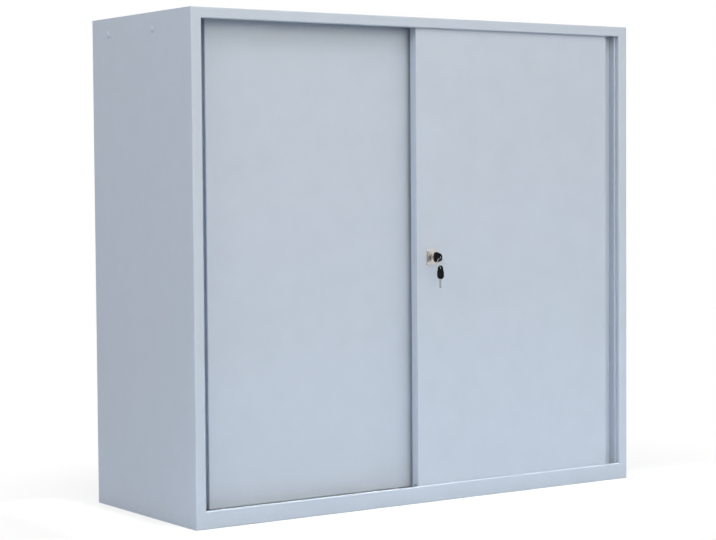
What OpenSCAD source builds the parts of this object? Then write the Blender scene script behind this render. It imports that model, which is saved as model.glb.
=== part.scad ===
// Sheet-steel cabinet with two sliding doors.
// Millimetres. Z is up, the front faces -Y, and the origin is the middle of the footprint on the floor.
// Inside the modules y is measured back from the front plane.

/* [Cabinet] */
// Width over the side skins
cabinet_w = 1200; // [900:10:1600]
// Height
cabinet_h = 1090; // [900:10:1400]
// Depth from the front plane to the rear flanges
cabinet_d = 450; // [400:5:600]

/* [Sheet] */
// Carcass sheet
sheet = 1; // [0.7:0.1:1.5]
// Door sheet
door_sheet = 0.8; // [0.6:0.1:1.2]
// Back sheet
back_sheet = 0.8; // [0.6:0.1:1.2]
// Shelf sheet
shelf_sheet = 0.8; // [0.6:0.1:1.2]
// Inner bend radius of the carcass
bend_r = 2; // [1:0.25:3]
// Inner bend radius of the doors and shelves
small_bend_r = 1; // [0.5:0.25:1.25]

/* [Front frame] */
// Width of a jamb face
jamb_w = 25; // [20:1:40]
// Height of the head
head_h = 23; // [21:1:40]
// Height of the sill
sill_h = 38.5; // [37:0.5:50]
// Depth of the head and sill returns
frame_return = 8; // [6:0.5:8]
// Upper face of the deck
deck_z = 21; // [18:1:24]

/* [Doors] */
// Front door face behind the front plane
door_setback = 10; // [10:0.5:14]
// Door thickness
door_t = 23; // [20:0.5:24]
// Distance from one door face to the other
door_pitch = 35; // [33:0.5:40]
// Width shared by the closed doors
door_overlap = 40; // [30:1:60]
// Gap between a closed door and its jamb
jamb_gap = 1.25; // [1:0.25:3]
// Gap between the runner rails and the door underside
door_lift = 3; // [2.5:0.5:5]
// Door height hidden behind the head
door_cover = 4; // [3:0.5:6]
// Width of the finger groove
grip_w = 27.5; // [22:0.5:35]
// Depth of the finger groove
grip_depth = 20; // [12:0.5:20]
// Room for the fingertips behind the hem of the face
grip_undercut = 6; // [3:0.5:10]
// Width of the lip outside the groove
grip_lip = 4; // [4:0.5:10]
// Width of the flanges behind a door's edges
edge_flange = 14; // [8:0.5:16]
// Sliding travel
door_travel = 515; // [300:5:530]

/* [Running gear] */
// Top of the runner rails
rail_top = 30; // [28:0.5:32]
// Width of a runner rail
rail_w = 3; // [2:0.25:3.5]
// Radius on which a roller runs
roller_r = 9; // [8:0.5:10]
// Height of a roller's rims
roller_rim = 2; // [1.5:0.25:3]
// Width of a roller
roller_w = 9; // [7:0.5:9.5]
// Clear width between the cheeks of a roller bracket
cheek_gap = 10; // [10:0.25:11]
// Axle diameter
axle_d = 5; // [4:0.25:6]
// Radial running gap
run_gap = 0.05; // [0.03:0.01:0.1]
// Distance from a door's meeting edge to its inner roller axle
roller_inset = 70; // [60:1:120]
// Distance from a door's ends to its guides
guide_inset = 60; // [45:1:100]
// Length of a guide tongue
guide_l = 40; // [25:1:60]
// Width of a guide channel
channel_w = 14; // [12:0.5:16]
// Depth of a guide channel
channel_h = 15; // [13:0.5:15]

/* [Shelves] */
// Front uprights behind the front plane
upright_y = 169.5; // [140:0.5:190]
// Rear uprights in front of the back
upright_rear = 79; // [60:1:110]
// Width of an upright
upright_w = 30; // [26:1:36]
// Depth of an upright
upright_d = 12; // [10:0.5:16]
// Slot pitch of the uprights
slot_pitch = 25; // [22:1:28]
// Slot that holds the lower shelf
lower_slot = 10; // [4:1:14]
// Slot that holds the upper shelf
upper_slot = 24; // [18:1:30]
// Height of the shelf edges
shelf_fold = 25; // [20:1:32]

/* [Lock] */
// Lock axis from the middle of the cabinet
lock_x = 19.5; // [17:0.5:40]
// Lock axis above the floor
lock_z = 554; // [400:1:700]
// Width of the lock plate
plate_w = 30; // [26:1:36]
// Height of the lock plate
plate_h = 36; // [28:1:44]
// Thickness of the lock plate
plate_t = 2; // [1:0.25:2.5]
// Barrel diameter
barrel_d = 18; // [17:0.5:20]
// Plug diameter
plug_d = 12.9; // [12:0.1:13.5]
// Reach of the locking cam
cam_l = 24; // [20:1:30]
// Width of the locking cam
cam_w = 12; // [11:0.5:13]

/* [Keys] */
// Length of a key bow
bow_l = 30.5; // [28:0.5:36]
// Width of a key bow
bow_w = 23; // [20:0.5:26]
// Thickness of a key bow
bow_t = 3.5; // [3:0.25:5]
// Diameter of the hole in a bow
bow_hole = 6; // [5:0.25:7]
// Length of blade that shows in front of the bow
blade_l = 20.5; // [18:0.5:24]
// Blade width
blade_w = 7; // [6:0.25:7.5]
// Blade thickness
blade_t = 2; // [1.5:0.1:2.4]
// Mean radius of the key ring
ring_r = 9.5; // [9:0.25:12]
// Wire radius of the key ring
wire_r = 0.6; // [0.4:0.05:0.8]

/* [Hidden] */
$fn = 48;
bend_steps = 5;
half_w = cabinet_w / 2;
skin_x = half_w - sheet;
jamb_x = half_w - jamb_w;
// Depth at which the mitred front corners end
seam_y = frame_return + 0.5;
// Half width between the rear bends of the side skins
rear_x = skin_x - bend_r - 0.1;
rear_bend_y = cabinet_d - sheet - bend_r - 0.1;
back_y = cabinet_d - sheet - back_sheet;
skin_z = cabinet_h - sheet;
head_z = cabinet_h - head_h;

// Folds behind the faces of the carcass
jamb_lip = 15;
rear_flange = 20;
foot_flange = 20;
foot_lip = 18;
top_flange = 24;
deck_flange_z = 3;
flange_y = back_y - sheet - small_bend_r;

// Hat channels under the deck, the shelves and behind the doors
support_w = 50;
support_brim = 20;
support_inset = 20;
rib_w = 44;
rib_brim = 18;
rib_end = 20;
rib_room = 4;

// Rivets of the back, in rows along the side flanges and along the top and bottom edges
rivet_d = 4;
rivet_hole = rivet_d + 2 * run_gap;
rivet_tail = 0.3;
rivet_spaces = 5;
rivet_end_z = 90;
rivet_end_x = 110;
rivet_pitch_z = (cabinet_h - 2 * rivet_end_z) / rivet_spaces;
rivet_pitch_x = (cabinet_w - 2 * rivet_end_x) / rivet_spaces;
rivet_zs = [for (i = [0 : rivet_spaces]) rivet_end_z + i * rivet_pitch_z];
rivet_xs = [for (i = [0 : rivet_spaces]) rivet_end_x - half_w + i * rivet_pitch_x];
flange_x = half_w - sheet - rear_flange / 2;
top_rivet_z = cabinet_h - sheet - top_flange / 2;
low_rivet_z = (deck_z + deck_flange_z) / 2;

// Doors
rear_setback = door_setback + door_pitch;
rear_door_room = 9;
door_zone = rear_setback + door_t + rear_door_room;
door_bottom = rail_top + door_lift;
door_top = head_z + door_cover;
door_h = door_top - door_bottom;
door_w = jamb_x - jamb_gap + door_overlap / 2;
lip_u = door_w - grip_lip;
face_u = lip_u - grip_w;
pocket_u = face_u - grip_undercut;
mid_v = door_t / 2;
// The groove stays clear of the flange behind it
groove_v = min(grip_depth, door_t - 2 * door_sheet - 1);
// The face ends at the groove in a hem, folded back on itself
hem_flat = 0.4;
hem_v = 2 * (small_bend_r + door_sheet) + hem_flat;
hang_hole_d = 7.5;
hang_hole_z = door_bottom + 4.8;

// Running gear
axle_z = rail_top + 0.3 + roller_r;
rim_r = roller_r + roller_rim;
cheek_t = 1.2;
cheek_v = cheek_gap / 2 + cheek_t;
cheek_top = axle_z + 12;
bracket_l = 60;
// The outer bracket stands beside the groove
groove_room = 1.7;
roller_us = [roller_inset, pocket_u - door_sheet - groove_room - bracket_l / 2];
axle_head_d = axle_d + 3;
axle_head_t = 1.2;
wheel_slot = 2 * rim_r + 4;
track_x = jamb_x - 0.5;
track_t = 1.2;
channel_top = skin_z - 1.5;
channel_z = skin_z - channel_h;
guide_w = channel_w - 2;
guide_top = channel_top - 4.5;
guide_bevel = 3;
foot_h = 2.5;
foot_inset = 4;
foot_rim = 1.5;
peg_d = 6;
peg_l = 5;
stop_gap = 0.3;
stop_l = 20;

// Shelves
web_x = skin_x - upright_d;
upright_t = 1.2;
upright_top = head_z - 2;
rear_upright_y = cabinet_d - upright_rear;
slot_z = 96;
slot_w = 4;
slot_h = 14;
slot_end = 60;
slot_count = floor((upright_top - slot_end - slot_z) / slot_pitch) + 1;
upright_rivet_z = upright_top - 11;
rivet_tab = 24;
dome_d = 18;
dome_h = 3;
dome_tail = 2.5;
clip_t = 1.5;
clip_w = 24;
clip_h = 30;
ledge_l = 17;
ledge_rise = 2;
hook_w = slot_w - 0.5;
hook_l = 2;
hook_gap = 0.3;
hook_neck = 6;
hook_drop = 6.5;
hook_play = 0.5;
shelf_lip = 14;
shelf_upturn = 9;
shelf_corner = 18;
shelf_front_room = 20;
shelf_rear_room = 10;
shelf_y = door_zone + shelf_front_room;
shelf_d = cabinet_d - shelf_rear_room - shelf_y;
shelf_x = web_x - clip_t - 1;
lower_ledge_z = slot_z + lower_slot * slot_pitch + ledge_rise;
upper_ledge_z = slot_z + upper_slot * slot_pitch + ledge_rise;

// Lock and keys
plate_y = door_setback - plate_t;
plate_shift = 1;
plate_r = 3;
seat_gap = 0.1;
barrel_y = plate_y - 2;
barrel_rim = 1.5;
barrel_hole = barrel_d + 0.4;
nut_flats = barrel_d + 7;
nut_t = 5;
barrel_end = door_setback + door_t;
plug_y = barrel_y - 1.2;
plug_rim = 1.25;
plug_rim_t = 1;
keyway_gap = 0.15;
cam_y = barrel_end + 2;
cam_t = 2;
cam_r = 3;
tail_w = 7;
screw_d = 3;
screw_head_d = 10;
screw_head_t = 1.8;
screw_l = 3;
strike_t = 1.5;
strike_l = 22;
strike_h = 24;
strike_gap = 6;
hole_in = 5.5;
hole_y = hole_in - bow_l;
bow_narrow = bow_w - 5;
bow_r = 8;
bow_end_r = 7.5;
bow_shoulder = 7;
bow_end_l = 12;
ring_z = lock_z - bow_hole / 2 + wire_r + 0.25 - ring_r;
ring_low = ring_z - ring_r;
spare_z = ring_low + wire_r + 0.25 - bow_hole / 2;
key_pocket = 6;

// Finish colours
paint = [0.76, 0.80, 0.84];
zinc = [0.70, 0.72, 0.73];
nickel = [0.78, 0.76, 0.72];
nylon = [0.93, 0.93, 0.90];
black = [0.06, 0.06, 0.07];

// Folded sheet: a line of corners is the skin, and the sheet lies to its left (side 1) or right (side -1)
function unit(v) = v / norm(v);
function across(u) = [-u.y, u.x];
function turned(v, a) = [v.x * cos(a) - v.y * sin(a), v.x * sin(a) + v.y * cos(a)];
function backwards(list) = [for (i = [len(list) - 1 : -1 : 0]) list[i]];

// Points of one bend, on the skin (o = 0) or on the other face of the sheet (o = 1)
function bend(p, u, v, side, t, r, o) =
    let (
        a = atan2(u.x * v.y - u.y * v.x, u * v),
        s = sign(a),
        inward = s == side ? 1 : -1,
        skin_r = inward > 0 ? r + t : r,
        centre = p - skin_r * tan(abs(a) / 2) * u + s * skin_r * across(u),
        line_r = skin_r - o * t * inward
    )
    [for (k = [0 : bend_steps]) centre - s * line_r * turned(across(u), a * k / bend_steps)];

function fold_line(path, side, t, r, o) =
    let (n = len(path) - 1)
    [
        for (i = [0 : n])
            each i == 0 ? [path[0] + o * t * side * across(unit(path[1] - path[0]))]
                : i == n ? [path[n] + o * t * side * across(unit(path[n] - path[n - 1]))]
                : bend(path[i], unit(path[i] - path[i - 1]), unit(path[i + 1] - path[i]), side, t, r, o)
    ];

function folded(path, side, t, r) =
    concat(fold_line(path, side, t, r, 0), backwards(fold_line(path, side, t, r, 1)));

// A hat channel: brims at height 0 and a web of width w at height h
function hat(w, brim, h) =
    let (x = w / 2)
    [[-x - brim, 0], [-x, 0], [-x, h], [x, h], [x, 0], [x + brim, 0]];

// Placing
module from_front() {
    translate([0, -cabinet_d / 2, 0])
        children();
}

// A section drawn in y and z, carried along x
module along_x(x0, x1) {
    translate([x0, 0, 0])
        rotate([90, 0, 90])
            linear_extrude(x1 - x0)
                children();
}

// A section drawn in x and z, carried along y
module along_y(y0, y1) {
    translate([0, y1, 0])
        rotate([90, 0, 0])
            linear_extrude(y1 - y0)
                children();
}

module along_z(z0, z1) {
    translate([0, 0, z0])
        linear_extrude(z1 - z0)
            children();
}

module box(x0, x1, y0, y1, z0, z1) {
    translate([x0, y0, z0])
        cube([x1 - x0, y1 - y0, z1 - z0]);
}

// A round bar along y
module rod(x, z, d, y0, y1) {
    translate([x, y0, z])
        rotate([-90, 0, 0])
            cylinder(d = d, h = y1 - y0);
}

module both_sides() {
    children();
    mirror([1, 0, 0])
        children();
}

module rounded(w, h, r) {
    square([w - 2 * r, h], center = true);
    square([w, h - 2 * r], center = true);
    for (x = [-1, 1], y = [-1, 1])
        translate([x * (w / 2 - r), y * (h / 2 - r)])
            circle(r);
}

// Doors are drawn with u across from the meeting edge, v back from the face and z up
module at_right_door() {
    from_front()
        translate([-door_overlap / 2, door_setback, 0])
            children();
}

module at_left_door() {
    from_front()
        translate([door_overlap / 2, rear_setback, 0])
            mirror([1, 0, 0])
                children();
}

// Front corners: the head and the sill meet the jambs in mitres
module head_zone() {
    along_y(-1, seam_y)
        polygon([[-half_w, cabinet_h], [half_w, cabinet_h], [jamb_x, head_z], [-jamb_x, head_z]]);
}

module sill_zone() {
    along_y(-1, seam_y)
        polygon([[-half_w, 0], [half_w, 0], [jamb_x, sill_h], [-jamb_x, sill_h]]);
}

// Plan of the space between the side skins, narrower by the rear bends
module top_plan() {
    translate([-skin_x, seam_y])
        square([2 * skin_x, rear_bend_y - seam_y]);
    translate([-rear_x, seam_y])
        square([2 * rear_x, cabinet_d - seam_y]);
}

// Plan of the deck, notched for the jamb boxes
module deck_plan() {
    translate([-jamb_x, seam_y])
        square([2 * jamb_x, cabinet_d / 2]);
    translate([-skin_x, door_zone])
        square([2 * skin_x, rear_bend_y - door_zone]);
    translate([-rear_x, door_zone])
        square([2 * rear_x, cabinet_d - door_zone]);
}

// Carcass
module side_skin() {
    edge = [
        [jamb_x + jamb_lip, door_zone], [jamb_x, door_zone], [jamb_x, 0], [half_w, 0],
        [half_w, cabinet_d], [half_w - rear_flange, cabinet_d]
    ];
    difference() {
        union() {
            along_z(0, cabinet_h)
                polygon(folded(edge, 1, sheet, bend_r));
            box(skin_x - foot_flange, skin_x + sheet / 2, door_zone + sheet, cabinet_d - rear_flange,
                0, sheet);
        }
        head_zone();
        sill_zone();
        along_z(skin_z, cabinet_h + 1)
            top_plan();
        for (z = rivet_zs)
            rod(flange_x, z, rivet_hole, cabinet_d - 3, cabinet_d + 1);
        for (y = [upright_y, rear_upright_y])
            translate([skin_x - 1, y, upright_rivet_z])
                rotate([0, 90, 0])
                    cylinder(d = rivet_hole, h = sheet + 2);
    }
}

module right_side_panel() {
    color(paint)
        from_front()
            side_skin();
}

module left_side_panel() {
    color(paint)
        from_front()
            mirror([1, 0, 0])
                side_skin();
}

module top_panel() {
    path = [[frame_return, head_z], [0, head_z], [0, cabinet_h], [flange_y, cabinet_h]];
    color(paint)
        from_front()
            intersection() {
                along_x(-half_w, half_w)
                    polygon(folded(path, -1, sheet, bend_r));
                union() {
                    head_zone();
                    along_z(head_z - 1, cabinet_h)
                        top_plan();
                }
            }
}

// Rear edge of the top, from its bend downwards
module top_rear_flange() {
    path = [[flange_y, cabinet_h], [back_y, cabinet_h], [back_y, cabinet_h - top_flange]];
    color(paint)
        from_front()
            difference() {
                along_x(-rear_x, rear_x)
                    polygon(folded(path, -1, sheet, small_bend_r));
                for (x = rivet_xs)
                    rod(x, top_rivet_z, rivet_hole, back_y - 3, back_y + 1);
            }
}

module base_panel() {
    path = [
        [foot_lip, 0], [0, 0], [0, sill_h], [frame_return, sill_h], [frame_return, deck_z],
        [back_y, deck_z], [back_y, deck_flange_z]
    ];
    color(paint)
        from_front()
            difference() {
                intersection() {
                    along_x(-half_w, half_w)
                        polygon(folded(path, -1, sheet, bend_r));
                    union() {
                        sill_zone();
                        along_z(0, sill_h)
                            deck_plan();
                    }
                }
                for (x = rivet_xs)
                    rod(x, low_rivet_z, rivet_hole, back_y - 3, back_y + 1);
            }
}

// Hat channel that carries the middle of the deck
module base_support() {
    brim_z = deck_z - 2 * sheet;
    color(paint)
        from_front()
            along_y(support_inset, cabinet_d - support_inset)
                translate([0, brim_z])
                    polygon(folded(hat(support_w, support_brim, -brim_z), 1, sheet, bend_r));
}

module back_panel() {
    color(paint)
        from_front()
            difference() {
                box(-rear_x, rear_x, back_y, back_y + back_sheet, 0, skin_z);
                both_sides()
                    for (z = rivet_zs)
                        rod(flange_x, z, rivet_hole, back_y - 1, cabinet_d);
                for (x = rivet_xs, z = [low_rivet_z, top_rivet_z])
                    rod(x, z, rivet_hole, back_y - 1, cabinet_d);
            }
}

// A blind rivet along y with its head outside at y
module back_rivet(x, z, y, grip) {
    rod(x, z, rivet_d, y - grip - rivet_tail, y);
    rod(x, z, 2 * rivet_d, y, y + 0.7);
    rod(x, z, 1.4 * rivet_d, y + 0.7, y + 1.1);
}

module back_rivets() {
    color(paint)
        from_front() {
            both_sides()
                for (z = rivet_zs)
                    back_rivet(flange_x, z, cabinet_d, sheet + back_sheet);
            for (x = rivet_xs, z = [low_rivet_z, top_rivet_z])
                back_rivet(x, z, cabinet_d - sheet, sheet + back_sheet);
        }
}

// Twin channel under the top skin, one channel over each door
module top_track() {
    c0 = door_setback + mid_v - channel_w / 2;
    c1 = rear_setback + mid_v - channel_w / 2;
    color(zinc)
        from_front()
            along_x(-track_x, track_x)
                difference() {
                    translate([c0 - track_t, channel_z])
                        square([c1 - c0 + channel_w + 2 * track_t, channel_h]);
                    for (c = [c0, c1])
                        translate([c, channel_z - 1])
                            square([channel_w, channel_top - channel_z + 1]);
                    translate([c0 + channel_w + track_t, channel_z - 1])
                        square([c1 - c0 - channel_w - 2 * track_t, channel_top - channel_z + 1]);
                }
}

// Runner strip on the deck with one rail under each door
module bottom_track() {
    color(zinc)
        from_front()
            along_x(-track_x, track_x) {
                translate([door_setback + 2, deck_z])
                    square([door_pitch + door_t - 4, track_t]);
                for (y = [door_setback + mid_v, rear_setback + mid_v])
                    translate([y - rail_w / 2, deck_z])
                        square([rail_w, rail_top - deck_z]);
            }
}

// Rubber blocks in the channels: one ends the closing of a door, the other its opening
module stop_pair(y) {
    closed = jamb_x - jamb_gap - guide_inset + guide_l / 2 + stop_gap;
    open = door_overlap / 2 - guide_inset + guide_l / 2 + door_travel + stop_gap;
    h = channel_top - channel_z - 1;
    translate([closed, y - channel_w / 2, channel_top - h])
        cube([stop_l, channel_w, h]);
    translate([-open - stop_l, y - channel_w / 2, channel_top - h])
        cube([stop_l, channel_w, h]);
}

module track_stops() {
    color(black)
        from_front() {
            stop_pair(door_setback + mid_v);
            mirror([1, 0, 0])
                stop_pair(rear_setback + mid_v);
        }
}

// Slotted channel against the right skin, with a tab at the top for its rivet
module upright(y) {
    w = upright_w / 2;
    path = [[skin_x, -w], [web_x, -w], [web_x, w], [skin_x, w]];
    translate([0, y, 0])
        difference() {
            union() {
                along_z(deck_z, upright_top)
                    polygon(folded(path, -1, upright_t, small_bend_r));
                box(skin_x - upright_t, skin_x, -w, w, upright_top - rivet_tab, upright_top);
            }
            for (k = [0 : slot_count - 1])
                box(web_x - 1, web_x + 3, -slot_w / 2, slot_w / 2, slot_z + k * slot_pitch - slot_h / 2,
                    slot_z + k * slot_pitch + slot_h / 2);
            translate([skin_x - 2 * upright_t, 0, upright_rivet_z])
                rotate([0, 90, 0])
                    cylinder(d = rivet_hole, h = 3 * upright_t);
        }
}

module front_right_upright() {
    color(paint)
        from_front()
            upright(upright_y);
}

module rear_right_upright() {
    color(paint)
        from_front()
            upright(rear_upright_y);
}

module front_left_upright() {
    color(paint)
        from_front()
            mirror([1, 0, 0])
                upright(upright_y);
}

module rear_left_upright() {
    color(paint)
        from_front()
            mirror([1, 0, 0])
                upright(rear_upright_y);
}

// Domed rivets through the side skins near the top
module upright_rivets() {
    dome_r = (dome_d * dome_d / 4 + dome_h * dome_h) / (2 * dome_h);
    shank = sheet + upright_t + dome_tail;
    color(paint)
        from_front()
            both_sides()
                for (y = [upright_y, rear_upright_y])
                    translate([half_w, y, upright_rivet_z])
                        rotate([0, 90, 0]) {
                            intersection() {
                                translate([0, 0, dome_h - dome_r])
                                    sphere(dome_r);
                                cylinder(d = dome_d, h = dome_h);
                            }
                            translate([0, 0, -shank])
                                cylinder(d = rivet_d, h = shank);
                        }
}

// Shelf with boxed front and rear edges and plain end flanges, its top face at z
module shelf(z) {
    path = [
        [shelf_lip, shelf_upturn - shelf_fold], [shelf_lip, -shelf_fold], [0, -shelf_fold], [0, 0],
        [shelf_d, 0], [shelf_d, -shelf_fold], [shelf_d - shelf_lip, -shelf_fold],
        [shelf_d - shelf_lip, shelf_upturn - shelf_fold]
    ];
    translate([0, shelf_y, z]) {
        along_x(-shelf_x, shelf_x)
            polygon(folded(path, -1, shelf_sheet, small_bend_r));
        both_sides()
            box(shelf_x - shelf_sheet, shelf_x, shelf_corner, shelf_d - shelf_corner, -shelf_fold,
                -shelf_sheet / 2);
    }
}

module shelf_stiffener(z) {
    translate([0, shelf_y + shelf_d / 2, z - shelf_sheet])
        along_x(rib_end - shelf_x, shelf_x - rib_end)
            polygon(folded(hat(rib_w, rib_brim, rib_room - shelf_fold), -1, shelf_sheet, small_bend_r));
}

// Hooked clip on a right-hand upright, its ledge top at z
module shelf_clip(y, z) {
    hook_z = z - ledge_rise - hook_play;
    hook_x = web_x + upright_t + hook_gap;
    translate([0, y, 0]) {
        box(web_x - clip_t, web_x, -clip_w / 2, clip_w / 2, z - clip_h, z);
        box(web_x - ledge_l, web_x, -clip_w / 2, clip_w / 2, z - clip_t, z);
        box(web_x - clip_t / 2, hook_x + hook_l, -hook_w / 2, hook_w / 2, hook_z - hook_neck, hook_z);
        box(hook_x, hook_x + hook_l, -hook_w / 2, hook_w / 2, hook_z - hook_neck - hook_drop, hook_z);
    }
}

module clip_set(z) {
    both_sides()
        for (y = [upright_y, rear_upright_y])
            shelf_clip(y, z);
}

module lower_shelf() {
    color(paint)
        from_front()
            shelf(lower_ledge_z + shelf_fold);
}

module lower_shelf_stiffener() {
    color(zinc)
        from_front()
            shelf_stiffener(lower_ledge_z + shelf_fold);
}

module lower_shelf_clips() {
    color(zinc)
        from_front()
            clip_set(lower_ledge_z);
}

module upper_shelf() {
    color(paint)
        from_front()
            shelf(upper_ledge_z + shelf_fold);
}

module upper_shelf_stiffener() {
    color(zinc)
        from_front()
            shelf_stiffener(upper_ledge_z + shelf_fold);
}

module upper_shelf_clips() {
    color(zinc)
        from_front()
            clip_set(upper_ledge_z);
}

// Door pan: face with a hem, undercut finger groove, lip, edge returns and rear flanges
module door_pan() {
    path = [
        [edge_flange, door_t], [0, door_t], [0, 0], [face_u, 0], [face_u, hem_v], [pocket_u, hem_v],
        [pocket_u, groove_v], [lip_u, groove_v], [lip_u, 0], [door_w, 0], [door_w, door_t],
        [door_w - edge_flange, door_t]
    ];
    rim = [[0, door_t], [0, 0], [face_u, 0], [face_u, door_t]];
    difference() {
        union() {
            along_z(door_bottom, door_top)
                polygon(folded(path, 1, door_sheet, small_bend_r));
            for (z = [door_bottom, door_top - door_sheet])
                along_z(z, z + door_sheet)
                    polygon(fold_line(rim, 1, door_sheet, small_bend_r, 0));
            for (z = [door_bottom, door_top - edge_flange])
                box(small_bend_r + door_sheet, face_u, door_t - door_sheet, door_t, z, z + edge_flange);
        }
        for (u = roller_us)
            box(u - wheel_slot / 2, u + wheel_slot / 2, mid_v - cheek_gap / 2, mid_v + cheek_gap / 2,
                door_bottom - 1, door_bottom + 2);
        for (u = roller_us)
            box(u - axle_head_d / 2, u + axle_head_d / 2, mid_v - cheek_v - axle_head_t - run_gap,
                mid_v + cheek_v + axle_head_t + run_gap, door_bottom - 1, door_bottom + 2);
        for (u = [guide_inset, door_w - guide_inset], s = [-1, 1])
            translate([u + s * guide_l / 4, mid_v, door_top - 2])
                cylinder(d = peg_d + 2 * run_gap, h = 4);
        translate([-1, mid_v, hang_hole_z])
            rotate([0, 90, 0])
                cylinder(d = hang_hole_d, h = 4);
    }
}

// Hat channel behind the middle of the face
module door_stiffener() {
    z = edge_flange + rib_end / 2;
    along_z(door_bottom + z, door_top - z)
        translate([face_u / 2, door_sheet])
            polygon(folded(hat(rib_w, rib_brim, door_t - rib_room - door_sheet), 1, door_sheet,
                small_bend_r));
}

// Nylon guides: a foot on the door, a tongue in the channel and two pegs into the door's top return
module door_guides() {
    rise = guide_top - door_top;
    half = guide_l / 2;
    for (u = [guide_inset, door_w - guide_inset])
        translate([u, mid_v, door_top]) {
            translate([foot_inset - half, -guide_w / 2 - foot_rim, 0])
                cube([guide_l - 2 * foot_inset, guide_w + 2 * foot_rim, foot_h]);
            along_y(-guide_w / 2, guide_w / 2)
                polygon([
                    [-half, 0], [half, 0], [half, rise - guide_bevel], [half - guide_bevel, rise],
                    [guide_bevel - half, rise], [-half, rise - guide_bevel]
                ]);
            for (s = [-1, 1])
                translate([s * guide_l / 4, 0, -peg_l])
                    cylinder(d = peg_d, h = peg_l + foot_h / 2);
        }
}

// Roller brackets: folded channels that stand on the door's bottom return
module door_brackets() {
    z = door_bottom + door_sheet;
    v0 = mid_v - cheek_v;
    v1 = mid_v + cheek_v;
    path = [[v0, cheek_top], [v0, z], [v1, z], [v1, cheek_top]];
    for (u = roller_us)
        difference() {
            along_x(u - bracket_l / 2, u + bracket_l / 2)
                polygon(folded(path, 1, cheek_t, small_bend_r));
            box(u - wheel_slot / 2, u + wheel_slot / 2, mid_v - cheek_gap / 2, mid_v + cheek_gap / 2,
                z - 1, z + 4);
            rod(u, axle_z, axle_d + 2 * run_gap, 0, door_t);
        }
}

module door_axles() {
    for (u = roller_us) {
        rod(u, axle_z, axle_d, mid_v - cheek_v - axle_head_t, mid_v + cheek_v + axle_head_t);
        rod(u, axle_z, axle_head_d, mid_v - cheek_v - axle_head_t, mid_v - cheek_v);
        rod(u, axle_z, (axle_d + axle_head_d) / 2, mid_v + cheek_v, mid_v + cheek_v + axle_head_t);
    }
}

// Nylon roller with two rims either side of the rail
module door_roller(u) {
    half = roller_w / 2;
    groove = rail_w / 2 + 0.6;
    bevel = 0.8;
    bore = axle_d / 2 + run_gap;
    translate([u, mid_v, axle_z])
        rotate([90, 0, 0])
            rotate_extrude()
                polygon([
                    [bore, -half], [rim_r - bevel, -half], [rim_r, bevel - half], [rim_r, -groove - bevel],
                    [roller_r, -groove], [roller_r, groove], [rim_r, groove + bevel], [rim_r, half - bevel],
                    [rim_r - bevel, half], [bore, half]
                ]);
}

module left_door_panel() {
    color(paint)
        at_left_door()
            door_pan();
}

module left_door_stiffener() {
    color(zinc)
        at_left_door()
            door_stiffener();
}

module left_door_guides() {
    color(nylon)
        at_left_door()
            door_guides();
}

module left_door_brackets() {
    color(zinc)
        at_left_door()
            door_brackets();
}

module left_door_axles() {
    color(zinc)
        at_left_door()
            door_axles();
}

module left_door_inner_roller() {
    color(nylon)
        at_left_door()
            door_roller(roller_us[0]);
}

module left_door_outer_roller() {
    color(nylon)
        at_left_door()
            door_roller(roller_us[1]);
}

// Lug on the rear door that the raised cam stops against
module lock_strike() {
    x1 = lock_x - cam_w / 2 - strike_t;
    z0 = lock_z + cam_w / 2 + strike_gap;
    path = [[x1 - strike_l, rear_setback], [x1, rear_setback], [x1, cam_y]];
    color(zinc)
        from_front()
            along_z(z0, z0 + strike_h)
                polygon(folded(path, -1, strike_t, small_bend_r));
}

module right_door_panel() {
    color(paint)
        difference() {
            at_right_door()
                door_pan();
            from_front()
                rod(lock_x, lock_z, barrel_hole, door_setback - 1, door_setback + 3);
        }
}

module right_door_stiffener() {
    color(zinc)
        at_right_door()
            door_stiffener();
}

module right_door_guides() {
    color(nylon)
        at_right_door()
            door_guides();
}

module right_door_brackets() {
    color(zinc)
        at_right_door()
            door_brackets();
}

module right_door_axles() {
    color(zinc)
        at_right_door()
            door_axles();
}

module right_door_inner_roller() {
    color(nylon)
        at_right_door()
            door_roller(roller_us[0]);
}

module right_door_outer_roller() {
    color(nylon)
        at_right_door()
            door_roller(roller_us[1]);
}

// Lock
module lock_plate() {
    color(nickel)
        from_front()
            along_y(plate_y, door_setback)
                translate([lock_x + plate_shift, lock_z])
                    difference() {
                        rounded(plate_w, plate_h, plate_r);
                        translate([-plate_shift, 0])
                            circle(d = barrel_d + 2 * seat_gap);
                    }
}

module lock_barrel() {
    color(nickel)
        from_front()
            difference() {
                union() {
                    rod(lock_x, lock_z, barrel_d, barrel_y, barrel_end);
                    rod(lock_x, lock_z, barrel_d + 2 * barrel_rim, barrel_y, plate_y);
                }
                rod(lock_x, lock_z, plug_d + 2 * run_gap, barrel_y - 1, barrel_end + 1);
            }
}

module lock_nut() {
    y = door_setback + door_sheet;
    color(zinc)
        from_front()
            difference() {
                translate([lock_x, y, lock_z])
                    rotate([-90, 30, 0])
                        cylinder(r = nut_flats / sqrt(3), h = nut_t, $fn = 6);
                rod(lock_x, lock_z, barrel_d + 2 * run_gap, y - 1, y + nut_t + 1);
            }
}

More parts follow.
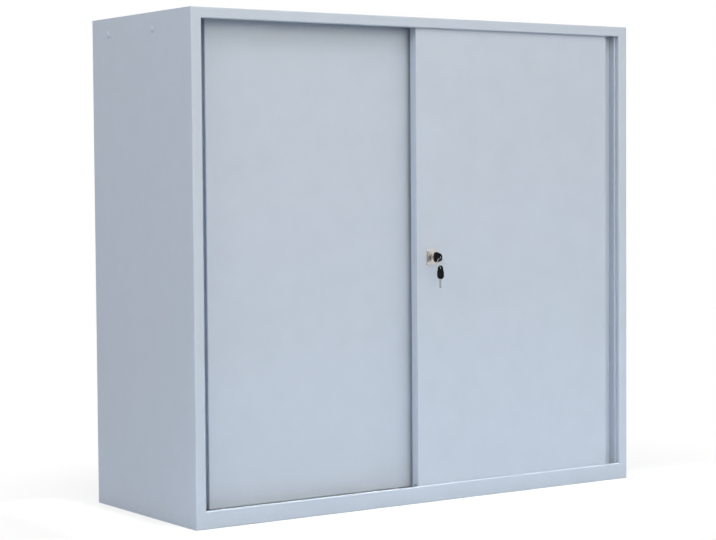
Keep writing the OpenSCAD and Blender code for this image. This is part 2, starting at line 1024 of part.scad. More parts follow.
// Turning plug with its keyway and square tail
module lock_plug() {
    color(nickel)
        from_front()
            difference() {
                union() {
                    rod(lock_x, lock_z, plug_d, plug_y, barrel_end);
                    rod(lock_x, lock_z, plug_d + 2 * plug_rim, plug_y, plug_y + plug_rim_t);
                    box(lock_x - tail_w / 2, lock_x + tail_w / 2, barrel_end, cam_y + cam_t,
                        lock_z - tail_w / 2, lock_z + tail_w / 2);
                }
                box(lock_x - blade_t / 2 - keyway_gap, lock_x + blade_t / 2 + keyway_gap, plug_y - 1,
                    blade_l + 2, lock_z - blade_w / 2 - keyway_gap, lock_z + blade_w / 2 + keyway_gap);
                rod(lock_x, lock_z, screw_d + 2 * seat_gap, cam_y - screw_l - 1, cam_y + cam_t + 1);
            }
}

// Cam: points away from the rear door when open and upwards when locked
module lock_cam() {
    color(zinc)
        from_front()
            along_y(cam_y, cam_y + cam_t)
                translate([lock_x, lock_z])
                    difference() {
                        union() {
                            circle(d = cam_w);
                            translate([0, -cam_w / 2])
                                square([cam_l - cam_r, cam_w]);
                            translate([cam_l - 2 * cam_r, cam_r - cam_w / 2])
                                square([2 * cam_r, cam_w - 2 * cam_r]);
                            for (s = [-1, 1])
                                translate([cam_l - cam_r, s * (cam_w / 2 - cam_r)])
                                    circle(cam_r);
                        }
                        square(tail_w + seat_gap, center = true);
                    }
}

module cam_screw() {
    color(zinc)
        from_front() {
            rod(lock_x, lock_z, screw_head_d, cam_y + cam_t, cam_y + cam_t + screw_head_t);
            rod(lock_x, lock_z, screw_d, cam_y - screw_l, cam_y + cam_t);
        }
}

// Keys are drawn with the bow hole at the origin and the blade along y
module key_blade_shape() {
    y0 = -hole_y - key_pocket;
    y1 = blade_l - hole_y;
    w = blade_w / 2;
    translate([-blade_t / 2, 0, 0])
        rotate([90, 0, 90])
            linear_extrude(blade_t)
                polygon([
                    [y0, -w], [y1 - 15, -w], [y1 - 14, 1.6 - w], [y1 - 13, 1.6 - w], [y1 - 12, 0.6 - w],
                    [y1 - 11, 0.6 - w], [y1 - 10, 2 - w], [y1 - 9, 2 - w], [y1 - 8, 0.9 - w],
                    [y1 - 7, 0.9 - w], [y1 - 6, 1.8 - w], [y1 - 5, 1.8 - w], [y1 - 4, 0.8 - w],
                    [y1 - 2, 0.8 - w], [y1, 2.6 - w], [y1, w - 1.5], [y1 - 1.5, w], [y0, w]
                ]);
}

module key_bow_shape() {
    y1 = -hole_y;
    difference() {
        translate([-bow_t / 2, 0, 0])
            rotate([90, 0, 90])
                linear_extrude(bow_t)
                    difference() {
                        union() {
                            translate([(y1 + bow_shoulder) / 2, 0])
                                rounded(y1 - bow_shoulder, bow_w, bow_r);
                            translate([(bow_end_l - hole_in) / 2, 0])
                                rounded(bow_end_l + hole_in, bow_narrow, bow_end_r);
                        }
                        circle(d = bow_hole);
                    }
        box(-blade_t / 2, blade_t / 2, y1 - key_pocket, y1 + 1, -blade_w / 2, blade_w / 2);
    }
}

module at_key() {
    from_front()
        translate([lock_x, hole_y, lock_z])
            children();
}

module at_spare_key() {
    from_front()
        translate([lock_x, hole_y, spare_z])
            rotate([-90, 0, 0])
                children();
}

module key_blade() {
    color(nickel)
        at_key()
            key_blade_shape();
}

module key_bow() {
    color(black)
        at_key()
            key_bow_shape();
}

module key_ring() {
    color(nickel)
        from_front()
            translate([lock_x, hole_y, ring_z])
                rotate([90, 0, 0])
                    rotate_extrude()
                        translate([ring_r, 0])
                            circle(wire_r);
}

module spare_key_blade() {
    color(nickel)
        at_spare_key()
            key_blade_shape();
}

module spare_key_bow() {
    color(black)
        at_spare_key()
            key_bow_shape();
}

left_side_panel();
right_side_panel();
top_panel();
top_rear_flange();
base_panel();
base_support();
back_panel();
back_rivets();
top_track();
bottom_track();
track_stops();
front_left_upright();
rear_left_upright();
front_right_upright();
rear_right_upright();
upright_rivets();
lower_shelf();
lower_shelf_stiffener();
lower_shelf_clips();
upper_shelf();
upper_shelf_stiffener();
upper_shelf_clips();
left_door_panel();
left_door_stiffener();
left_door_guides();
left_door_brackets();
left_door_axles();
lock_strike();
left_door_inner_roller();
left_door_outer_roller();
right_door_panel();
right_door_stiffener();
right_door_guides();
right_door_brackets();
right_door_axles();
lock_plate();
lock_barrel();
lock_nut();
right_door_inner_roller();
right_door_outer_roller();
lock_plug();
lock_cam();
cam_screw();
key_blade();
key_bow();
key_ring();
spare_key_blade();
spare_key_bow();
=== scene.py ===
import bpy
import numpy as np
from mathutils import Matrix, Vector


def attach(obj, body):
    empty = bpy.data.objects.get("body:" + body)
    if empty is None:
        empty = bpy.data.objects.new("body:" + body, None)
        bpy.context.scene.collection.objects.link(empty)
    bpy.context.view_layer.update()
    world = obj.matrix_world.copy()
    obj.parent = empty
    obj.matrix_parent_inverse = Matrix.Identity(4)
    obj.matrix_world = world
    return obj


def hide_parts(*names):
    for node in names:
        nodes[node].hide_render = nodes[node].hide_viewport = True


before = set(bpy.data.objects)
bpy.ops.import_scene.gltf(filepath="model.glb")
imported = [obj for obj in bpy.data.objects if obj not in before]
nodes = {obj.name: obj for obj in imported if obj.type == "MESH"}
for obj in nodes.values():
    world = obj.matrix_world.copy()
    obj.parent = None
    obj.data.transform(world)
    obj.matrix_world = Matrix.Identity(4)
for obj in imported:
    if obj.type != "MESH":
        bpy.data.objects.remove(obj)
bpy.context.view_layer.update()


# Carcass: sides, top, base and back, folded from 0.8 to 1 mm cold-rolled sheet, spot welded and riveted.
# After assembly the shell is phosphated, sprayed with light grey polyester powder and baked.
MM = 0.001  # the cabinet's sizes are in millimetres, Blender's in metres


def linear(code):
    """An sRGB hex colour as linear light, by the sRGB curve."""
    c = np.array([int(code[i:i + 2], 16) for i in (1, 3, 5)]) / 255
    c = np.where(c <= 0.04045, c / 12.92, ((c + 0.055) / 1.055) ** 2.4)
    return (*c.tolist(), 1.0)


def add(tree, kind, values=(), links=(), **settings):
    """Adds a shader node: values go to its open inputs, links to its joined inputs, settings to its options."""
    made = tree.nodes.new("ShaderNode" + kind)
    for name, value in settings.items():
        setattr(made, name, value)
    for name, value in dict(values).items():
        made.inputs[name].default_value = value
    for name, source in dict(links).items():
        tree.links.new(source, made.inputs[name])
    return made


def blank(name):
    """A new material: its node tree, its Object coordinates and the socket that takes its shader."""
    material = bpy.data.materials.new(name)
    material.use_nodes = True
    tree = material.node_tree
    tree.nodes.clear()
    place = add(tree, "TexCoord").outputs["Object"]
    return material, tree, place, add(tree, "OutputMaterial").inputs["Surface"]


def paint_nodes(material, *names):
    """Gives CAD nodes one material."""
    for name in names:
        nodes[name].data.materials.clear()
        nodes[name].data.materials.append(material)


# Polyester powder coat: the melted grains level into a satin film with faint orange peel,
# so the eye sees broad soft highlights, a slightly uneven sheen and edges that catch the light.
PEEL_MM, PEEL_DEPTH_MM = 5.0, 0.06  # real orange peel is 1 to 3 mm wide, drawn coarser so that it shows
BUCKLE_MM, BUCKLE_DEPTH_MM = 420.0, 0.6  # thin sheet is never quite flat between its folds
FILM_MM = 60.0  # patches where the film is a little thicker
THIN_FILM, THICK_FILM = 0.3, 0.7  # values of the noise between which most of it lies

powder_coat, tree, place, surface = blank("polyester_powder_coat_light_grey")
patches = add(tree, "TexNoise", {"Scale": 1 / (FILM_MM * MM), "Detail": 3.0, "Roughness": 0.55},
              {"Vector": place})
tone = add(tree, "ValToRGB", links={"Fac": patches.outputs["Fac"]})
thin, thick = tone.color_ramp.elements
thin.position, thin.color = THIN_FILM, linear("#C0C9D5")
thick.position, thick.color = THICK_FILM, linear("#C3CCD8")
gloss = add(tree, "MapRange", {"From Min": THIN_FILM, "From Max": THICK_FILM, "To Min": 0.40, "To Max": 0.47},
            {"Value": patches.outputs["Fac"]})
buckle = add(tree, "TexNoise", {"Scale": 1 / (BUCKLE_MM * MM), "Detail": 1.0}, {"Vector": place})
waves = add(tree, "Bump", {"Strength": 0.5, "Distance": BUCKLE_DEPTH_MM * MM}, {"Height": buckle.outputs["Fac"]})
peel = add(tree, "TexNoise", {"Scale": 1 / (PEEL_MM * MM), "Detail": 2.0, "Roughness": 0.5}, {"Vector": place})
skin = add(tree, "Bump", {"Strength": 0.35, "Distance": PEEL_DEPTH_MM * MM},
           {"Height": peel.outputs["Fac"], "Normal": waves.outputs["Normal"]})
film = add(tree, "BsdfPrincipled", {"IOR": 1.5},
           {"Base Color": tone.outputs["Color"], "Roughness": gloss.outputs["Result"],
            "Normal": skin.outputs["Normal"]})
tree.links.new(film.outputs["BSDF"], surface)

paint_nodes(powder_coat, "left_side_panel", "right_side_panel", "top_panel", "top_rear_flange", "base_panel",
            "base_support", "back_panel")


# Blind rivets of the back: aluminium rivets with a low domed head and the broken stem sunk in its middle.
# They are pulled up from outside, six along each edge, and painted with the carcass.
RIVET_R, RIVET_RISE, RIVET_RIM = 4.0, 1.05, 0.1575  # the rim stands straight up below the dome
CROWN_R, PIT_R, STEM_R = 1.54, 1.21, 1.1  # where the dome ends, the pit's mouth, the stem
PIT_MOUTH, PIT_FOOT, STEM_TOP = 0.945, 0.5775, 0.63  # heights above the back
RIVET_STEPS, RIVET_AROUND = 7, 24
ROW = 6
SIDE_X, SIDE_Y, SIDE_FOOT, SIDE_PITCH = 589.0, 225.0, 90.0, 182.0  # rows up the left and right edge
LEVEL_START, LEVEL_Y, LEVEL_ZS, LEVEL_PITCH = -490.0, 224.0, (12.0, 1077.0), 196.0  # rows at foot and top


def piece(name, verts, faces, material, body, slot, *stands_for):
    """A mesh piece, given in millimetres, that rides on a body and stands for CAD nodes."""
    mesh = bpy.data.meshes.new(name)
    mesh.from_pydata((np.asarray(verts, float).reshape(-1, 3) * MM).tolist(), [], faces)
    mesh.shade_smooth()
    made = bpy.data.objects.new(name, mesh)
    bpy.context.scene.collection.objects.link(made)
    made.data.materials.append(material)
    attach(made, body)
    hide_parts(*stands_for)


def quads(rows, cols, closed):
    """Faces of a grid of points whose columns close on themselves, and whose rows do too if closed."""
    i, j = np.meshgrid(np.arange(rows if closed else rows - 1), np.arange(cols), indexing="ij")
    k, n = (i + 1) % rows, (j + 1) % cols
    return np.stack([i * cols + j, i * cols + n, k * cols + n, k * cols + j], -1).reshape(-1, 4).tolist()


def turned(profile, around):
    """A profile of (radius, height) turned about z: x = radius cos a, y = radius sin a.
    Both ends of the profile lie on the axis."""
    radius, height = np.asarray(profile, float).T
    angle = np.linspace(0, 2 * np.pi, around, endpoint=False)
    circle = np.stack([np.cos(angle), np.sin(angle), 0 * angle], -1)
    rings = radius[1:-1, None, None] * circle + height[1:-1, None, None] * np.array([0, 0, 1])
    verts = np.concatenate([rings.reshape(-1, 3), [[0, 0, height[0]], [0, 0, height[-1]]]])
    j, last = np.arange(around), (len(rings) - 1) * around
    start = np.stack([np.full(around, len(verts) - 2), (j + 1) % around, j], -1).tolist()
    end = np.stack([np.full(around, len(verts) - 1), last + j, last + (j + 1) % around], -1).tolist()
    return verts, quads(len(rings), around, False) + start + end


def repeated(faces, points, copies):
    """Faces of a shape's copies, whose points follow one another."""
    return [[i + k * points for i in face] for k in range(copies) for face in faces]


# from the underside over the rim, up a quarter ellipse and down into the stem's pit
arc = np.linspace(0, np.pi / 2, RIVET_STEPS)
dome = zip(CROWN_R + (RIVET_R - CROWN_R) * np.cos(arc), RIVET_RIM + (RIVET_RISE - RIVET_RIM) * np.sin(arc))
head = [(0, 0), (RIVET_R, 0), *dome, (PIT_R, PIT_MOUTH), (STEM_R, PIT_FOOT), (0, STEM_TOP)]
verts, faces = turned(head, RIVET_AROUND)
backward = verts[:, [0, 2, 1]] * [-1, 1, 1]
along = np.arange(ROW)[:, None]
places = np.concatenate(
    [np.array([side * SIDE_X, SIDE_Y, SIDE_FOOT]) + along * [0, 0, SIDE_PITCH] for side in (-1, 1)]
    + [np.array([LEVEL_START, LEVEL_Y, z]) + along * [LEVEL_PITCH, 0, 0] for z in LEVEL_ZS])
piece("back_rivet_heads", places[:, None] + backward, repeated(faces, len(verts), len(places)),
      powder_coat, "cabinet", "powder_coated_steel", "back_rivets")


# Guide channel and runner strip: zinc-coated strip, rolled to shape and spot welded to the top and the deck.
# The zinc freezes into flat crystals, so the dull metal is mottled in patches with slightly different sheen.
SPANGLE_MM = 9.0

galvanised, tree, place, surface = blank("galvanised_steel_spangled")
spangle = add(tree, "TexVoronoi", {"Scale": 1 / (SPANGLE_MM * MM), "Randomness": 1.0}, {"Vector": place})
crystal = add(tree, "SeparateColor", links={"Color": spangle.outputs["Color"]})
tone = add(tree, "ValToRGB", links={"Fac": crystal.outputs["Red"]})
dark, light = tone.color_ramp.elements
dark.color, light.color = linear("#B4B8BA"), linear("#CDD0D1")
sheen = add(tree, "MapRange", {"To Min": 0.34, "To Max": 0.52}, {"Value": crystal.outputs["Green"]})
metal = add(tree, "BsdfPrincipled", {"Metallic": 1.0},
            {"Base Color": tone.outputs["Color"], "Roughness": sheen.outputs["Result"]})
tree.links.new(metal.outputs["BSDF"], surface)

paint_nodes(galvanised, "top_track", "bottom_track")


# Stops in the guide channel: blocks of black rubber, pressed in, that end the travel of the doors.
# Moulded rubber is matt, with a grey bloom where it has been handled.
BLOOM_MM, BLOOM_DEPTH_MM = 6.0, 0.1

rubber, tree, place, surface = blank("black_rubber_moulded")
bloom = add(tree, "TexNoise", {"Scale": 1 / (BLOOM_MM * MM), "Detail": 4.0}, {"Vector": place})
tone = add(tree, "ValToRGB", links={"Fac": bloom.outputs["Fac"]})
dark, light = tone.color_ramp.elements
dark.color, light.color = linear("#1B1B1C"), linear("#2E2E2F")
grain = add(tree, "Bump", {"Strength": 0.4, "Distance": BLOOM_DEPTH_MM * MM}, {"Height": bloom.outputs["Fac"]})
matt = add(tree, "BsdfPrincipled", {"Roughness": 0.85, "IOR": 1.52},
           {"Base Color": tone.outputs["Color"], "Normal": grain.outputs["Normal"]})
tree.links.new(matt.outputs["BSDF"], surface)

paint_nodes(rubber, "track_stops")


# Uprights and shelves: slotted channels riveted to the sides, and folded shelves that hang on hooked clips.
# Both are powder coated like the carcass; the shelves' stiffeners and clips are bare zinc-coated steel.
paint_nodes(powder_coat, "front_left_upright", "rear_left_upright", "front_right_upright", "rear_right_upright",
            "lower_shelf", "upper_shelf")
paint_nodes(galvanised, "lower_shelf_stiffener", "upper_shelf_stiffener", "lower_shelf_clips",
            "upper_shelf_clips")


# Rivets of the uprights: steel rivets with a broad round head outside, two through each side near the top.
# The tail is upset inside the upright, and the heads are painted with the sides.
DOME_R, DOME_RISE, DOME_RIM, DOME_SWELL = 8.8, 2.95, 0.25, 2.6
SHANK_R, TAIL_R, TAIL_TIP_R = 2.0, 2.9, 2.32
TAIL_SEAT, TAIL_BULGE, TAIL_END = -2.2, -3.95, -4.7  # heights, below the skin's outside
DOME_STEPS, DOME_AROUND = 13, 32
DOME_X, DOME_YS, DOME_Z = 600.0, (-55.5, 146.0), 1054.0

# from the tail's end up the shank, out under the head and over it: the dome drops by a power of its radius
reach = np.linspace(1, 0, DOME_STEPS, endpoint=False)
dome = zip(DOME_R * reach, DOME_RIM + (DOME_RISE - DOME_RIM) * (1 - reach ** DOME_SWELL))
rivet = [(0, TAIL_END), (TAIL_TIP_R, TAIL_END), (TAIL_R, TAIL_BULGE), (TAIL_R, TAIL_SEAT), (SHANK_R, TAIL_SEAT),
         (SHANK_R, 0), (DOME_R - DOME_RIM, 0), *dome, (0, DOME_RISE)]
verts, faces = turned(rivet, DOME_AROUND)
rightward = verts[:, [2, 0, 1]]
places = [(side, np.array([side * DOME_X, y, DOME_Z])) for side in (-1, 1) for y in DOME_YS]
piece("upright_rivet_domes", [rightward * [side, side, 1] + spot for side, spot in places],
      repeated(faces, len(verts), len(places)), powder_coat, "cabinet", "powder_coated_steel", "upright_rivets")


# Doors: pans of 0.8 mm sheet with a hemmed finger groove folded into the outer edge, sprayed like the carcass.
# A hat channel stiffens each pan from behind; it, the roller brackets, the axles and the strike are bare.
paint_nodes(powder_coat, "left_door_panel", "right_door_panel")
paint_nodes(galvanised, "left_door_stiffener", "right_door_stiffener", "left_door_brackets",
            "right_door_brackets", "left_door_axles", "right_door_axles", "lock_strike")


# Guides and rollers: injection-moulded natural nylon, pressed into the doors or turning on steel axles.
# Nylon is a milky white that lets a little light in, with a fine spark-eroded texture from the mould.
SPARK_MM, SPARK_DEPTH_MM = 1.5, 0.05  # real texture is about 0.1 mm wide, drawn coarser so that it shows
GLOW_MM = np.array([2.0, 2.0, 1.8])  # how far red, green and blue light run inside

nylon, tree, place, surface = blank("natural_nylon_moulded")
spark = add(tree, "TexNoise", {"Scale": 1 / (SPARK_MM * MM), "Detail": 2.0}, {"Vector": place})
tone = add(tree, "ValToRGB", links={"Fac": spark.outputs["Fac"]})
dark, light = tone.color_ramp.elements
dark.color, light.color = linear("#E4E2DA"), linear("#EFEDE6")
texture = add(tree, "Bump", {"Strength": 0.3, "Distance": SPARK_DEPTH_MM * MM}, {"Height": spark.outputs["Fac"]})
milky = add(tree, "BsdfPrincipled",
            {"Roughness": 0.45, "IOR": 1.53, "Subsurface Weight": 0.15,
             "Subsurface Radius": (GLOW_MM * MM).tolist(), "Subsurface Scale": 1.0},
            {"Base Color": tone.outputs["Color"], "Normal": texture.outputs["Normal"]})
tree.links.new(milky.outputs["BSDF"], surface)

paint_nodes(nylon, "left_door_guides", "right_door_guides", "left_door_inner_roller", "left_door_outer_roller",
            "right_door_inner_roller", "right_door_outer_roller")


# Cam lock: die-cast barrel and plug, zinc with satin nickel plate, and a zinc-coated nut, cam and screw.
# Plating keeps the faint polishing lines of the metal below, so its sheen is drawn out in one direction.
POLISH_MM, POLISH_LENGTH = 0.8, 12.0  # width of a line, and how many times longer it is

nickel, tree, place, surface = blank("satin_nickel_plate")
stretch = add(tree, "Mapping", {"Scale": (1.0, 1.0, POLISH_LENGTH)}, {"Vector": place})
lines = add(tree, "TexNoise", {"Scale": 1 / (POLISH_MM * POLISH_LENGTH * MM), "Detail": 4.0},
            {"Vector": stretch.outputs["Vector"]})
tone = add(tree, "ValToRGB", links={"Fac": lines.outputs["Fac"]})
dark, light = tone.color_ramp.elements
dark.color, light.color = linear("#B9B7B5"), linear("#CBC9C6")
sheen = add(tree, "MapRange", {"To Min": 0.24, "To Max": 0.38}, {"Value": lines.outputs["Fac"]})
plated = add(tree, "BsdfPrincipled", {"Metallic": 1.0},
             {"Base Color": tone.outputs["Color"], "Roughness": sheen.outputs["Result"]})
tree.links.new(plated.outputs["BSDF"], surface)

paint_nodes(nickel, "lock_barrel", "lock_plug")
paint_nodes(galvanised, "lock_nut", "lock_cam", "cam_screw")


# Lock plate: a cover pressed from 2 mm sheet, with a rounded rim and a hole for the barrel, plated like it.
# The barrel's rim holds it against the face of the right door.
LOCK_X, LOCK_Z, PLATE_X = 19.5, 554.0, 20.5
PLATE_W, PLATE_H, PLATE_R, PLATE_HOLE_R = 30.0, 36.0, 3.0, 9.1
PLATE_FRONT, PLATE_BACK = -217.0, -215.0
PLATE_EDGE, PLATE_LIP = 1.1, 0.3  # radii of the rim and of the hole's lip
EDGE_STEPS, CORNER_STEPS = 6, 9


def pierced(outline, hole_r, front, back, edge, lip, rounds_back):
    """A flat piece with a round hole at the origin. Each loop is the outline, or a circle at the same angles,
    at one height: up the hole and round its lip, out across the face, round the rim by a quarter circle and
    down, then back underneath. The loops close on themselves. The outline runs clockwise.
    Columns: along, across, height."""
    step = np.roll(outline, -1, 0) - np.roll(outline, 1, 0)
    outward = np.stack([-step[:, 1], step[:, 0]], -1) / np.linalg.norm(step, axis=1, keepdims=True)
    circle = outline / np.linalg.norm(outline, axis=1, keepdims=True)
    arc = np.linspace(0, np.pi / 2, EDGE_STEPS)
    rim = [(outline - outward * edge * (1 - np.sin(a)), front - edge * (1 - np.cos(a))) for a in arc]
    mouth = [(circle * (hole_r + lip * (1 - np.sin(a))), front - lip * (1 - np.cos(a))) for a in arc[::-1]]
    upper = mouth + rim
    if rounds_back:
        lower = [(line, front + back - height) for line, height in upper[::-1]]
    else:
        lower = [(outline, back), (circle * hole_r, back)]
    points = [np.concatenate([line, np.full((len(line), 1), height)], 1) for line, height in upper + lower]
    return np.concatenate(points), quads(len(points), len(outline), True)


def rounded_plate(width, height, radius, per_corner):
    """A rectangle with round corners, given by the angle of its normal: each corner's centre plus the radius
    that way."""
    angle = -np.linspace(0, np.pi / 2, per_corner) - np.pi / 2 * np.arange(4)[:, None]
    middle = angle.mean(1, keepdims=True)
    across = np.sign(np.cos(middle)) * (width / 2 - radius) + radius * np.cos(angle)
    up = np.sign(np.sin(middle)) * (height / 2 - radius) + radius * np.sin(angle)
    return np.stack([across.ravel(), up.ravel()], -1)


plate_line = rounded_plate(PLATE_W, PLATE_H, PLATE_R, CORNER_STEPS) + [PLATE_X - LOCK_X, 0.0]
verts, faces = pierced(plate_line, PLATE_HOLE_R, -PLATE_FRONT, -PLATE_BACK, PLATE_EDGE, PLATE_LIP, False)
verts = np.stack([LOCK_X + verts[:, 0], -verts[:, 2], LOCK_Z + verts[:, 1]], -1)
piece("lock_plate_pressed", verts, faces, nickel, "right_door", "nickel_plate", "lock_plate")


# Keys: nickel-plated blades with bitting on one edge, moulded into black plastic bows.
# The bows are ABS with rounded edges and a fine matt grain, so the eye sees a deep black with little shine.
HOLE_Y, SPARE_Z = -250.0, 530.7  # holes of the bows; the key's own is level with the lock
BOW_FACE, BOW_EDGE, BOW_HOLE_R, BOW_LIP = 1.75, 1.3, 3.0, 0.5
NECK_HALF, SHOULDER, SHOULDER_FROM, SHOULDER_RUN = 9.0, 2.5, 2.0, 9.0
RING_END, RING_END_R, BLADE_END, BLADE_END_R = 2.0, 7.5, 17.0, 8.0  # the corners' centres and radii
SIDE_INSET = 0.8
BOW_CORNER_STEPS, BOW_SIDE_STEPS = 12, 18
GRAIN_MM, GRAIN_DEPTH_MM = 0.9, 0.04  # real grain is about 0.05 mm wide, drawn coarser so that it shows

black_plastic, tree, place, surface = blank("black_abs_moulded")
grit = add(tree, "TexNoise", {"Scale": 1 / (GRAIN_MM * MM), "Detail": 3.0}, {"Vector": place})
tone = add(tree, "ValToRGB", links={"Fac": grit.outputs["Fac"]})
dark, light = tone.color_ramp.elements
dark.color, light.color = linear("#050506"), linear("#0B0B0D")
grain = add(tree, "Bump", {"Strength": 0.3, "Distance": GRAIN_DEPTH_MM * MM}, {"Height": grit.outputs["Fac"]})
moulded = add(tree, "BsdfPrincipled", {"Roughness": 0.42, "IOR": 1.54, "Specular IOR Level": 0.08},
              {"Base Color": tone.outputs["Color"], "Normal": grain.outputs["Normal"]})
tree.links.new(moulded.outputs["BSDF"], surface)


def bow_outline():
    """Half the bow is a run of points: a round corner at the ring's end, a shoulder that widens by a smooth step,
    and a rounder corner at the blade's end. The other half is its mirror image. Columns: along, across."""
    corner = np.linspace(0, np.pi / 2, BOW_CORNER_STEPS)
    ring_end = np.stack([RING_END - RING_END_R * np.cos(corner),
                         NECK_HALF - RING_END_R + RING_END_R * np.sin(corner)], -1)
    run = np.linspace(RING_END + SIDE_INSET, BLADE_END - SIDE_INSET, BOW_SIDE_STEPS)
    step = np.clip((run - SHOULDER_FROM) / SHOULDER_RUN, 0, 1)
    side = np.stack([run, NECK_HALF + SHOULDER * step * step * (3 - 2 * step)], -1)
    blade_end = np.stack([BLADE_END + BLADE_END_R * np.sin(corner),
                          NECK_HALF + SHOULDER - BLADE_END_R + BLADE_END_R * np.cos(corner)], -1)
    half = np.concatenate([ring_end, side, blade_end])
    return np.concatenate([half, half[::-1] * [1, -1]])


verts, faces = pierced(bow_outline(), BOW_HOLE_R, BOW_FACE, -BOW_FACE, BOW_EDGE, BOW_LIP, True)
key_verts = np.stack([LOCK_X + verts[:, 2], HOLE_Y + verts[:, 0], LOCK_Z + verts[:, 1]], -1)
spare_verts = np.stack([LOCK_X + verts[:, 2], HOLE_Y + verts[:, 1], SPARE_Z - verts[:, 0]], -1)
piece("key_bow_moulded", key_verts, faces, black_plastic, "key", "black_plastic", "key_bow")
piece("spare_key_bow_moulded", spare_verts, faces, black_plastic, "spare_key", "black_plastic", "spare_key_bow")
paint_nodes(nickel, "key_blade", "spare_key_blade")


# Split ring: flat spring wire wound twice, so that a key can be threaded on between its turns, and plated.
# It runs through the holes of both bows, and the spare key hangs from it.
RING_Z, RING_R = 542.35, 9.5
WIRE_HALF_W, WIRE_HALF_T, WIRE_ROUNDING = 0.46, 0.245, 0.5
RING_GAP, STEP_OVER = 0.28, 0.12  # in radians: what each end stops short by, and the width of the step over
TURN_PLAY = 1.04  # the turns lie a little further apart than the wire is thick
RING_STEPS, WIRE_AROUND = 145, 12


def split_ring():
    """The wire's path is a circle, run twice, whose offset along the axis steps over once by a hyperbolic tangent.
    The section carried along it is a rounded rectangle: a power of the cosine across, and of the sine through.
    Both ends are capped."""
    turn = np.linspace(RING_GAP, 4 * np.pi - RING_GAP, RING_STEPS)[:, None]
    shift = WIRE_HALF_T * TURN_PLAY * np.tanh((turn - 2 * np.pi) / STEP_OVER)
    a = np.linspace(0, 2 * np.pi, WIRE_AROUND, endpoint=False)[None]
    across = WIRE_HALF_W * np.sign(np.cos(a)) * np.abs(np.cos(a)) ** WIRE_ROUNDING
    through = WIRE_HALF_T * np.sign(np.sin(a)) * np.abs(np.sin(a)) ** WIRE_ROUNDING
    points = np.stack([(RING_R + across) * np.cos(turn), shift + through, (RING_R + across) * np.sin(turn)], -1)
    first, last = np.arange(WIRE_AROUND), np.arange(WIRE_AROUND) + (RING_STEPS - 1) * WIRE_AROUND
    return points.reshape(-1, 3), quads(RING_STEPS, WIRE_AROUND, False) + [first[::-1].tolist(), last.tolist()]


verts, faces = split_ring()
piece("key_ring_split", verts + [LOCK_X, HOLE_Y, RING_Z], faces, nickel, "key_ring", "nickel_plate", "key_ring")


# Studio floor: a pale floor under the cabinet that keeps its soft shadow and fades to a white sweep further off.
# The white is only what the camera and reflections see; light that bounces up comes from a cool grey.
FLOOR_HALF = 9.0
FLOOR_SHOWS = 0.28  # share of the floor that is seen near the cabinet
FADE_NEAR, FADE_FAR = 0.62, 1.25  # where the fade starts and ends, in metres from the middle
FADE_LAY = (1.0, 1.35, 0.0)  # the fade is shorter from front to back

scene = bpy.context.scene
corners = [(-1, -1), (1, -1), (1, 1), (-1, 1)]
mesh = bpy.data.meshes.new("studio_floor")
mesh.from_pydata([(x * FLOOR_HALF, y * FLOOR_HALF, 0.0) for x, y in corners], [], [(0, 1, 2, 3)])
floor = bpy.data.objects.new("studio_floor", mesh)
scene.collection.objects.link(floor)


def seen_rays(tree):
    """1 for a ray from the camera, a reflection or glass, and 0 for bounced light: the largest of the three."""
    ray = add(tree, "LightPath").outputs
    seen = add(tree, "Math", links={0: ray["Is Camera Ray"], 1: ray["Is Glossy Ray"]}, operation="MAXIMUM")
    seen = add(tree, "Math", links={0: seen.outputs["Value"], 1: ray["Is Transmission Ray"]}, operation="MAXIMUM")
    return seen.outputs["Value"]


floor_paint, tree, place, surface = blank("studio_floor_pale")
lay = add(tree, "VectorMath", {1: FADE_LAY}, {0: place}, operation="MULTIPLY")
far = add(tree, "VectorMath", links={0: lay.outputs["Vector"]}, operation="LENGTH")
fade = add(tree, "MapRange", {"From Min": FADE_NEAR, "From Max": FADE_FAR, "To Min": 1 - FLOOR_SHOWS},
           {"Value": far.outputs["Value"]}, interpolation_type="SMOOTHSTEP")
seen = seen_rays(tree)
share = add(tree, "Math", links={0: seen, 1: fade.outputs["Result"]}, operation="MULTIPLY")
tone = add(tree, "Mix", {6: linear("#ABB4C1"), 7: linear("#FAFAFA")}, {0: seen}, data_type="RGBA")
pale = add(tree, "BsdfDiffuse", links={"Color": tone.outputs[2]})
white = add(tree, "Emission", {"Strength": 1.0})
mixed = add(tree, "MixShader",
            links={0: share.outputs["Value"], 1: pale.outputs["BSDF"], 2: white.outputs["Emission"]})
tree.links.new(mixed.outputs["Shader"], surface)
floor.data.materials.append(floor_paint)


# Room: even white light from all round at a low level, as from white walls.
# The camera and reflections see it as the white sweep, at full strength.
ROOM_LIGHT, SWEEP_LIGHT = 0.40, 1.0
WHITE = (1.0, 1.0, 1.0, 1.0)

scene.world = bpy.data.worlds.new("studio_room")
scene.world.use_nodes = True
tree = scene.world.node_tree
tree.nodes.clear()
room = add(tree, "Background", {"Color": WHITE, "Strength": ROOM_LIGHT})
sweep = add(tree, "Background", {"Color": WHITE, "Strength": SWEEP_LIGHT})
mixed = add(tree, "MixShader",
            links={0: seen_rays(tree), 1: room.outputs["Background"], 2: sweep.outputs["Background"]})
tree.links.new(mixed.outputs["Shader"], add(tree, "OutputWorld").inputs["Surface"])


# Lamps: soft boxes in front, above, at both sides and behind, all turned to the cabinet's middle.
# Two strips with narrow beams light the floor in front and beside it, which lights the faces from below.
# The front box is a little warm and its strip cool, so the doors look greyer at the top and bluer at the foot.
FRONT_AIM, BACK_AIM = (0.0, -0.2, 0.55), (0.0, 0.2, 0.55)


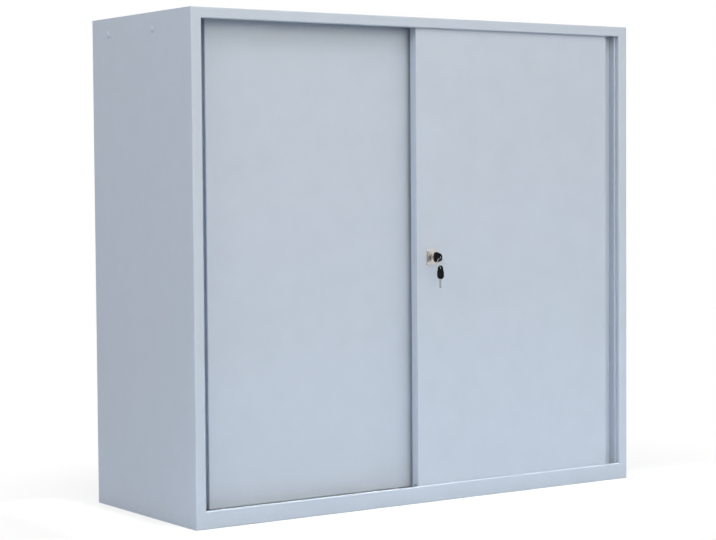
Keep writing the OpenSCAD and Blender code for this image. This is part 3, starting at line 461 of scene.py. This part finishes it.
def lamp(name, spot, aim, size, watts, beam=180.0, tint="#FFFFFF"):
    """A rectangular soft box at a spot, turned to a point. A grid on it can narrow its beam, in degrees, and a
    film can tint it a little."""
    data = bpy.data.lights.new(name, "AREA")
    data.shape, data.energy = "RECTANGLE", watts
    data.size, data.size_y = size
    data.spread, data.color = np.radians(beam), linear(tint)[:3]
    made = bpy.data.objects.new(name, data)
    made.location = spot
    made.rotation_euler = (Vector(aim) - Vector(spot)).to_track_quat("-Z", "Y").to_euler()
    scene.collection.objects.link(made)


lamp("front_box", (-0.29, -4.36, 2.24), FRONT_AIM, size=(3.0, 2.0), watts=58.5, tint="#FFF7E3")
lamp("high_box", (-0.81, -2.85, 4.10), FRONT_AIM, size=(3.6, 2.0), watts=47.0)
lamp("right_box", (2.62, -3.32, 2.45), FRONT_AIM, size=(2.4, 2.0), watts=15.0)
lamp("side_box", (-3.99, -1.05, 2.45), FRONT_AIM, size=(2.4, 2.0), watts=42.0)
lamp("back_box", (2.3, 3.6, 2.9), BACK_AIM, size=(2.4, 2.0), watts=85.0)
lamp("front_floor_strip", (0.0, -0.62, 3.0), (0.0, -0.62, 0.0), size=(2.2, 0.3), watts=19.0, beam=16.0,
     tint="#F0F7FF")
lamp("side_floor_strip", (-0.73, 0.0, 2.6), (-0.73, 0.0, 0.0), size=(0.07, 0.6), watts=0.7, beam=4.0)


# Camera: it stands at the photograph's viewpoint, about 4.6 m off and 0.74 m above the floor.
# Place, angles in radians and focal length were solved together from the cabinet's edges.
CAMERA_AT = (-2.61059, -3.77190, 0.73921)
TURN, TILT, ROLL = 0.59935, 0.04824, -0.00713
FOCAL_PX, FRAME_PX, SENSOR_MM = 1961.67, 716, 36.0

ahead = Vector((np.sin(TURN) * np.cos(TILT), np.cos(TURN) * np.cos(TILT), -np.sin(TILT)))
level = Vector((np.cos(TURN), -np.sin(TURN), 0.0))
upright = level.cross(ahead)
right = np.cos(ROLL) * level + np.sin(ROLL) * upright
up = -np.sin(ROLL) * level + np.cos(ROLL) * upright
camera = bpy.data.objects.new("camera", bpy.data.cameras.new("camera"))
camera.data.sensor_width, camera.data.lens = SENSOR_MM, SENSOR_MM * FOCAL_PX / FRAME_PX
camera.matrix_world = Matrix.Translation(CAMERA_AT) @ Matrix((right, up, -ahead)).transposed().to_4x4()
scene.collection.objects.link(camera)
scene.camera = camera
scene.view_settings.view_transform = "Standard"
